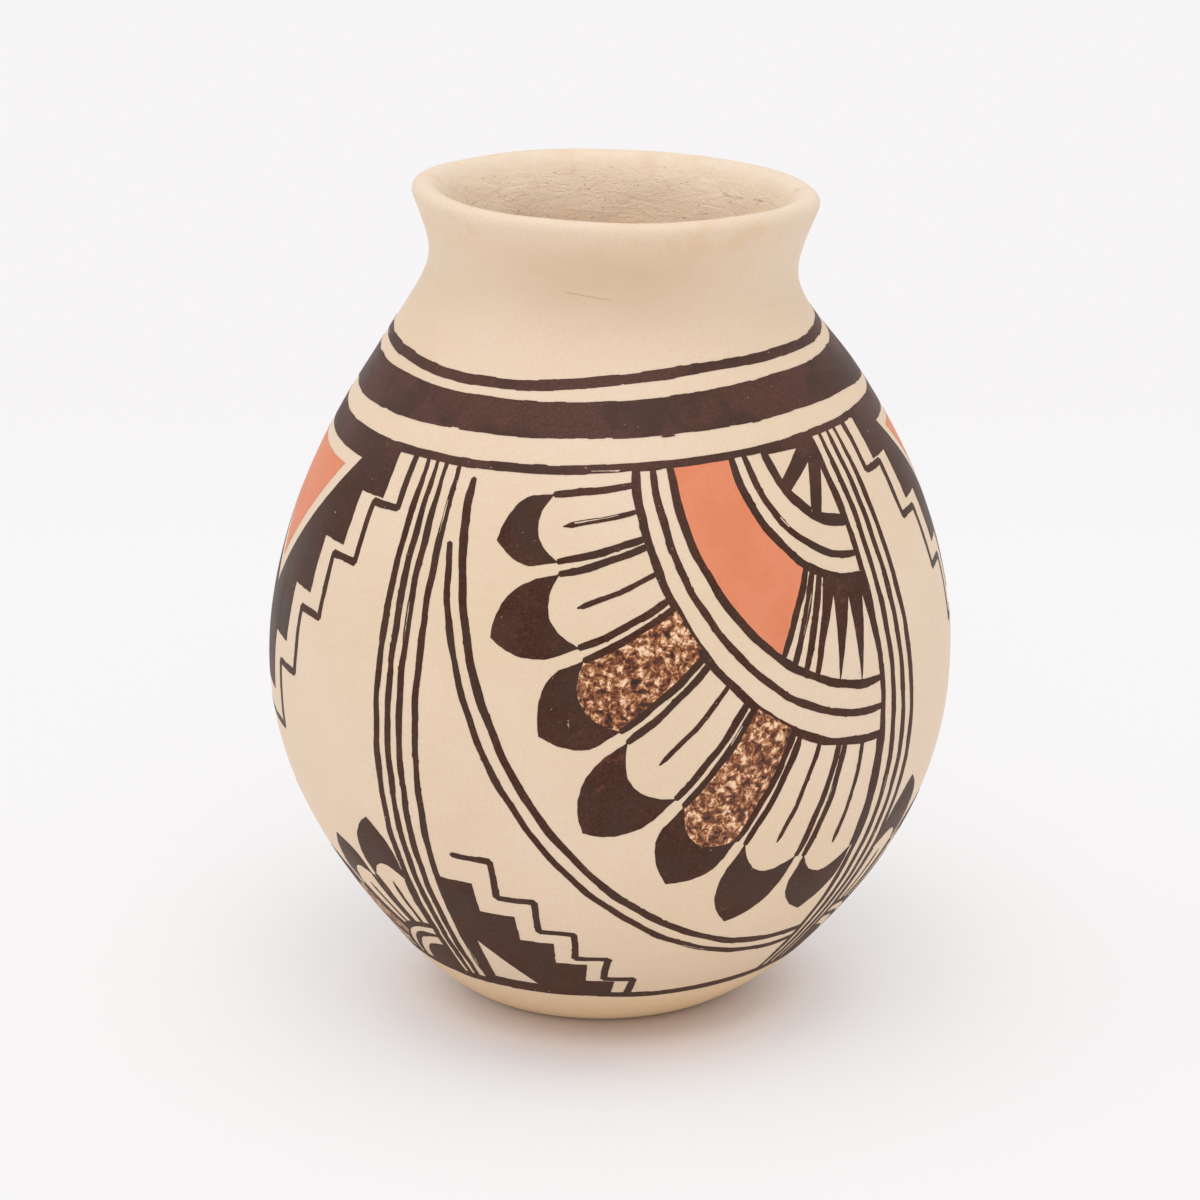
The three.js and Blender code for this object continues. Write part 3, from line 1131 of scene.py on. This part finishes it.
def fill_dark(sheet):
    """Brown-black plant and iron paint: thin and reddish in places, with fine rubbed flecks, and paler on
    the shoulder as painted sheen with some dust.
    """
    look = bpy.context.scene.jar_paint
    mm = sheet.place()
    pools = sheet.noise(mm, 0.09, 4, 0.6, 0.6)
    thin = sheet.noise(mm, 0.35, 3, 0.65, 0.8)
    grain = sheet.noise(mm, 2.2, 3, 0.8)
    olive = sheet.noise(mm, 0.085, 3, 0.6, 0.5)
    flecks = sheet.noise(mm, 1.1, 2, 0.5)
    colour = sheet.coat(look.dark, look.dark_warm, pools, 0.4, 0.62)
    # Paler on the shoulder: painted sheen of the light from above, with some rubbed dust
    colour = sheet.coat(colour, look.dark_dust_and_sheen, sheet.part(mm, "Z"), 104, 118, 0.8)
    colour = sheet.coat(colour, look.dark_thin, thin, 0.60, 0.76, 0.6)
    colour = sheet.mix((1 - sheet.step(grain, 0.30, 0.50)) * 0.40, colour, look.dark_grain)
    colour = sheet.coat(colour, look.dark_rubbed, grain, 0.48, 0.72, 0.34)
    colour = sheet.coat(colour, look.dark_olive, olive, 0.44, 0.60, 0.65)
    colour = sheet.coat(colour, look.dark_flecks, flecks, 0.745, 0.765, 0.6)
    rough = sheet.step(grain, 0.3, 0.8) * 0.12 + sheet.step(pools, 0.4, 0.7) * 0.10 + look.roughness
    sheet.principled(colour, rough, grain * 0.6 + thin * 0.5, (0.4, 0.00012), specular=0.15)


def fill_red(sheet):
    """Flat red-orange slip with soft pools and a fine grain."""
    look = bpy.context.scene.jar_paint
    mm = sheet.place()
    pools = sheet.noise(mm, 0.12, 3, 0.55, 0.4)
    grain = sheet.noise(mm, 1.8, 3, 0.7)
    colour = sheet.coat(look.red, look.red_light, pools, 0.35, 0.65)
    colour = sheet.coat(colour, look.red_grain, grain, 0.45, 0.75, 0.25)
    rough = sheet.step(grain, 0.3, 0.8) * 0.12 + look.roughness + 0.06
    sheet.principled(colour, rough, grain * 0.4 + pools * 0.4, (0.4, 0.00012))


def fill_stipple(sheet):
    """Brown paint dabbed on with a chewed twig, so that the cream slip shows between the dabs."""
    look = bpy.context.scene.jar_paint
    mm = sheet.place()
    dabs = sheet.noise(mm, 0.72, 4, 0.68, 0.4)
    grain = sheet.noise(mm, 3.0, 3, 0.7)
    places = (0.38, 0.44, 0.50, 0.55, 0.62)
    shades = (look.brown_thick, look.brown, look.brown_thin, look.brown_edge, look.brown_bare)
    colour = sheet.node("ShaderNodeValToRGB", {"stops": list(zip(places, shades))}, {"Fac": dabs})
    colour = sheet.coat(colour, look.brown_grain, grain, 0.45, 0.8, 0.25)
    rough = sheet.step(dabs, 0.4, 0.6) * 0.12 + look.roughness
    sheet.principled(colour, rough, dabs * -1.0, (0.35, 0.00015))


# Each paint's material, how it is filled, and its slot
PAINTS = {
    "dark": ("dark_slip_paint", fill_dark, "dark_paint"),
    "red": ("red_slip_paint", fill_red, "red_paint"),
    "stipple": ("brown_stipple", fill_stipple, "brown_stipple"),
}


def colour_property(name, description, colour):
    return bpy.props.FloatVectorProperty(
        name=name, description=description, subtype="COLOR", size=4, min=0, max=1, default=shade(*colour)
    )


def share_property(name, description, share):
    return bpy.props.FloatProperty(name=name, description=description, default=share, min=0, max=1)


def strength_property(name, description, strength):
    return bpy.props.FloatProperty(name=name, description=description, default=strength, min=0)


def length_property(name, description, length):
    return bpy.props.FloatProperty(name=name, description=description, default=length, unit="LENGTH")


class JarClaySettings(bpy.types.PropertyGroup):
    slip: colour_property("Slip", "Cream slip over the outside", (234, 210, 187))
    slip_yellow: colour_property("Yellow slip", "Where the slip fired yellower", (230, 205, 176))
    slip_pink: colour_property("Pink slip", "Where the slip fired pinker", (236, 211, 189))
    # Painted shade under the lip, on the middle of the neck
    neck: colour_property("Neck", "Yellower patch on the middle of the neck", (221, 194, 163))
    # Painted highlight on the lip's crest and painted light on the sides of the neck
    rim: colour_property("Rim", "Paler slip on the lip and the sides of the neck", (239, 222, 204))
    # Warmer clay by the foot, lightened as painted light from the floor
    base: colour_property("Base", "Warmer clay near the foot", (252, 217, 175))
    # The inside colours are lightened beyond the clay's own, as painted light in the mouth
    inside: colour_property("Inside", "Bare clay inside", (253, 227, 198))
    inside_light: colour_property("Light inside", "Dry streaks inside", (253, 234, 208))
    inside_deep: colour_property("Deep inside", "Warmer clay further down inside", (255, 218, 181))
    # Painted shade in the pits
    pits: colour_property("Pits", "Small hollows in the bare clay", (196, 152, 112))
    polish: colour_property("Polish", "Paler streaks left by the polishing stone", (246, 226, 203))
    grain: colour_property("Grain", "Fine grain in the slip", (213, 183, 149))
    specks: colour_property("Specks", "A few dark specks in the clay", (120, 90, 66))
    marks: colour_property("Marks", "Scratches and the pit on the lip", (140, 96, 64))
    mottle: colour_property("Mottle", "Browner patches round the lip", (226, 190, 148))
    roughness: share_property("Roughness", "Least roughness of the polished slip", 0.50)


class JarPaintSettings(bpy.types.PropertyGroup):
    dark: colour_property("Dark paint", "Thick brown-black paint", (67, 37, 25))
    dark_warm: colour_property("Warm dark paint", "Brown-black paint laid thinner", (77, 48, 37))
    # Painted sheen on the shoulder, with some rubbed dust
    dark_dust_and_sheen: colour_property("Dusty dark paint", "The same, rubbed on the shoulder", (91, 61, 54))
    dark_thin: colour_property("Thin dark paint", "Reddish brown where it is thinnest", (114, 64, 46))
    dark_grain: colour_property("Dark grain", "Fine dark grain in the paint", (40, 24, 17))
    dark_rubbed: colour_property("Light grain", "Fine rubbed grain in the paint", (122, 86, 72))
    dark_olive: colour_property("Olive dark paint", "Cooler clouds in the paint", (66, 49, 40))
    dark_flecks: colour_property("Flecks", "Where the slip shows through", (205, 180, 155))
    red: colour_property("Red paint", "Red-orange slip", (224, 131, 92))
    red_light: colour_property("Light red paint", "Red-orange slip where it pooled less", (228, 138, 100))
    red_grain: colour_property("Red grain", "Fine grain in the red slip", (204, 110, 74))
    brown_thick: colour_property("Thick brown", "Middle of the thickest dabs", (38, 16, 6))
    brown: colour_property("Brown dabs", "Stippled brown paint", (100, 46, 20))
    brown_thin: colour_property("Thin brown", "Thinner brown round the dabs", (140, 80, 42))
    brown_edge: colour_property("Brown edge", "Faint edge of the dabs", (194, 132, 86))
    brown_bare: colour_property("Bare between dabs", "Slip between the dabs", (250, 213, 178))
    brown_grain: colour_property("Brown grain", "Fine grain over the dabs", (120, 78, 50))
    roughness: share_property("Roughness", "Least roughness of the paints", 0.42)
    line_width: length_property("Line width", "Width of the panels' main lines", 0.00155)
    group_width: length_property("Group width", "Width of the upright lines", 0.0013)
    neck_width: length_property("Neck line width", "Width of the line over the band", 0.0016)
    shoulder_width: length_property("Shoulder line width", "Width of the line under the band", 0.0013)
    base_width: length_property("Base line width", "Width of the line over the foot", 0.0015)


class JarStageSettings(bpy.types.PropertyGroup):
    floor: colour_property("Floor", "Pale floor as it lights the jar", (250, 248, 246))
    floor_shown: colour_property("Floor shown", "Pale floor as the camera sees it", (170, 170, 170))
    # Painted shadow on the floor by the foot, as the camera sees it
    floor_close_shadow: colour_property("Floor close by", "The same by the foot", (245, 231, 226))
    floor_contact_shadow: colour_property("Floor at the foot", "The same right beside the foot", (213, 197, 188))
    floor_glow: strength_property("Floor glow", "Even white that the camera sees over the floor", 0.514)
    background: colour_property("Background", "What the camera sees round the floor", (250, 247, 248))
    background_far: colour_property("Far background", "The same at the back of the floor", (246, 242, 245))
    ambient: strength_property("Ambient", "Light from all round", 0.675)
    over: strength_property("Overhead light", "Power of the soft light from above", 1.01)
    front: strength_property("Front light", "Power of the soft light from high in front", 0.42)
    left: strength_property("Left light", "Power of the soft light from the left", 0.14)
    spread: bpy.props.FloatProperty(
        name="Spread", description="Breadth of each soft light", default=math.radians(50), unit="ROTATION"
    )
    size: length_property("Floor size", "Half the floor's side", 4.0)


class JAR_OT_make_clay(bpy.types.Operator):
    """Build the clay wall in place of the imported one"""
    bl_idname = "jar.make_clay"
    bl_label = "Make Clay Jar"

    def execute(self, context):
        jar = make_clay()
        finish_piece(jar)
        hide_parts("jar_body")
        return {"FINISHED"}


class JAR_OT_paint_rings(bpy.types.Operator):
    """Paint the band and the three lines that run round the jar"""
    bl_idname = "jar.paint_rings"
    bl_label = "Paint Rings"

    def execute(self, context):
        look = context.scene.jar_paint
        brush = Brush(SEEDS["rings"])
        band = [("dark", ring_outline(brush, ring_edge(BAND_TOP), ring_edge(BAND_LOW)))]
        for edge in (BAND_TOP, BAND_LOW):
            band += ring_touches(brush, edge, 0.3)
        rings = {
            "neck_line": line_ring(brush, NECK_LINE, look.neck_width / MM),
            "shoulder_band": band,
            "shoulder_line": line_ring(brush, SHOULDER_LINE, look.shoulder_width / MM),
            "base_line": line_ring(brush, BASE_LINE, look.base_width / MM),
        }
        for name, shapes in rings.items():
            paint_shapes(name, shapes, PAINT_LIFT["rings"])
        return {"FINISHED"}


class JAR_OT_paint_groups(bpy.types.Operator):
    """Paint the four groups of upright lines"""
    bl_idname = "jar.paint_groups"
    bl_label = "Paint Line Groups"

    def execute(self, context):
        look = context.scene.jar_paint
        for seed, (name, group, turn) in enumerate(GROUPS, start=SEEDS["groups"]):
            shapes = group_shapes(Brush(seed), group, turn, look.group_width / MM)
            paint_shapes(f"lines_{name}", shapes, PAINT_LIFT["groups"])
        return {"FINISHED"}


def paint_field(name, seed, left, right, designs):
    """Paints the designs of one field between two line groups."""
    field = Field(Brush(seed), left, right, bpy.context.scene.jar_paint)
    for design in designs:
        design(field)
    paint_shapes(name, field.shapes, PAINT_LIFT["fields"])


class JAR_OT_paint_fans(bpy.types.Operator):
    """Paint the front and back fields with a feather fan and a terrace"""
    bl_idname = "jar.paint_fans"
    bl_label = "Paint Fan Fields"

    def execute(self, context):
        designs = (paint_fan, paint_terrace)
        for seed, (name, turn) in enumerate((("front", 0.0), ("back", 180.0)), start=SEEDS["fans"]):
            paint_field(f"fan_{name}", seed, (NARROW_GROUP, turn), (WIDE_GROUP, turn), designs)
        return {"FINISHED"}


class JAR_OT_paint_pendants(bpy.types.Operator):
    """Paint the side fields with a stepped pendant and corner fans"""
    bl_idname = "jar.paint_pendants"
    bl_label = "Paint Pendant Fields"

    def execute(self, context):
        designs = (paint_pendant, paint_corner_fans)
        for seed, (name, turn) in enumerate((("right", 0.0), ("left", -180.0)), start=SEEDS["pendants"]):
            left, right = (WIDE_GROUP, turn), (NARROW_GROUP, turn + 180.0)
            paint_field(f"pendant_{name}", seed, left, right, designs)
        return {"FINISHED"}


def fill_floor(sheet):
    """Pale paper, which the camera sees flatter than it lights the jar, and darker by the foot with a
    painted shadow.
    """
    look = bpy.context.scene.jar_stage
    mm = sheet.place()
    around = sheet.distance(mm)
    reach = sheet.distance(sheet.place(SHADOW["squeeze"]), SHADOW["middle"])
    contact, close, shown, paper = (
        sheet.node("ShaderNodeBsdfDiffuse", None, {"Color": colour})
        for colour in (look.floor_contact_shadow, look.floor_close_shadow, look.floor_shown, look.floor)
    )
    near_glow, far_glow = (
        sheet.node("ShaderNodeEmission", None, {"Color": colour, "Strength": look.floor_glow})
        for colour in (look.background, look.background_far)
    )
    glow = sheet.blend(sheet.step(sheet.part(mm, "Y"), *SHADOW["far"]), near_glow, far_glow)
    open_floor = sheet.node("ShaderNodeAddShader", None, {0: shown, 1: glow})
    # Painted shadow: the floor's colour darkens right by the foot and round the jar, as the camera sees it
    shaded = sheet.blend(sheet.step(around, *SHADOW["contact"]), contact, close)
    seen = sheet.blend(sheet.step(reach, *SHADOW["wide"]), shaded, open_floor)
    camera_ray = sheet.node("ShaderNodeLightPath", output="Is Camera Ray")
    sheet.surface(sheet.blend(camera_ray, paper, seen))


def add_light(name, way, spread, power):
    """A broad soft light from one way, as from a large white screen."""
    data = bpy.data.lights.new(name, "SUN")
    data.angle = spread
    data.energy = power
    lamp = bpy.data.objects.new(name, data)
    lamp.rotation_euler = Vector(way).to_track_quat("Z", "Y").to_euler()
    bpy.context.scene.collection.objects.link(lamp)


class JAR_OT_set_stage(bpy.types.Operator):
    """Set the pale floor, the soft light and the camera"""
    bl_idname = "jar.set_stage"
    bl_label = "Set Stage"

    def execute(self, context):
        look = context.scene.jar_stage
        side = look.size / MM
        corners = [(x * side, y * side, -FLOOR_DROP) for x, y in ((-1, -1), (1, -1), (1, 1), (-1, 1))]
        floor = new_object("floor", corners, [(0, 1, 2, 3)], make_material("pale_floor", fill_floor))
        world = bpy.data.worlds.new("studio")
        context.scene.world = world
        sheet = Finish(world)
        light = sheet.node("ShaderNodeBackground", None, {"Color": (1, 1, 1, 1), "Strength": look.ambient})
        seen = sheet.node("ShaderNodeBackground", None, {"Color": look.background, "Strength": 1.0})
        camera_ray = sheet.node("ShaderNodeLightPath", output="Is Camera Ray")
        sheet.node("ShaderNodeOutputWorld", None, {"Surface": sheet.blend(camera_ray, light, seen)})
        for name, way in SCREENS.items():
            add_light(name, way, look.spread, getattr(look, name))
        camera = bpy.data.cameras.new("camera")
        camera.sensor_width, camera.lens = CAMERA["sensor"], CAMERA["lens"]
        camera.clip_start, camera.clip_end = CAMERA["clip"]
        holder = bpy.data.objects.new("camera", camera)
        holder.location = CAMERA["place"]
        holder.rotation_euler = (math.radians(CAMERA["tilt"]), 0, 0)
        context.scene.collection.objects.link(holder)
        context.scene.camera = holder
        context.scene.view_settings.view_transform = "Standard"
        return {"FINISHED"}


class JAR_PT_panel(bpy.types.Panel):
    """Steps and settings of the painted jar"""
    bl_idname = "JAR_PT_panel"
    bl_label = "Painted Water Jar"
    bl_space_type = "VIEW_3D"
    bl_region_type = "UI"
    bl_category = "Jar"

    def draw(self, context):
        for step in STEPS:
            self.layout.operator(step.bl_idname)
        for group in (context.scene.jar_clay, context.scene.jar_paint, context.scene.jar_stage):
            box = self.layout.box()
            for name in group.__annotations__:
                box.prop(group, name)


SETTINGS = {"jar_clay": JarClaySettings, "jar_paint": JarPaintSettings, "jar_stage": JarStageSettings}
STEPS = (
    JAR_OT_make_clay,
    JAR_OT_paint_rings,
    JAR_OT_paint_groups,
    JAR_OT_paint_fans,
    JAR_OT_paint_pendants,
    JAR_OT_set_stage,
)


def register():
    for item in (*SETTINGS.values(), *STEPS, JAR_PT_panel):
        bpy.utils.register_class(item)
    for name, group in SETTINGS.items():
        setattr(bpy.types.Scene, name, bpy.props.PointerProperty(type=group))


def unregister():
    for name in SETTINGS:
        delattr(bpy.types.Scene, name)
    for item in (JAR_PT_panel, *reversed(STEPS), *reversed(SETTINGS.values())):
        bpy.utils.unregister_class(item)


def main():
    register()
    bpy.ops.jar.make_clay()
    bpy.ops.jar.paint_rings()
    bpy.ops.jar.paint_groups()
    bpy.ops.jar.paint_fans()
    bpy.ops.jar.paint_pendants()
    bpy.ops.jar.set_stage()
    bpy.context.view_layer.update()


if __name__ == "__main__":
    main()
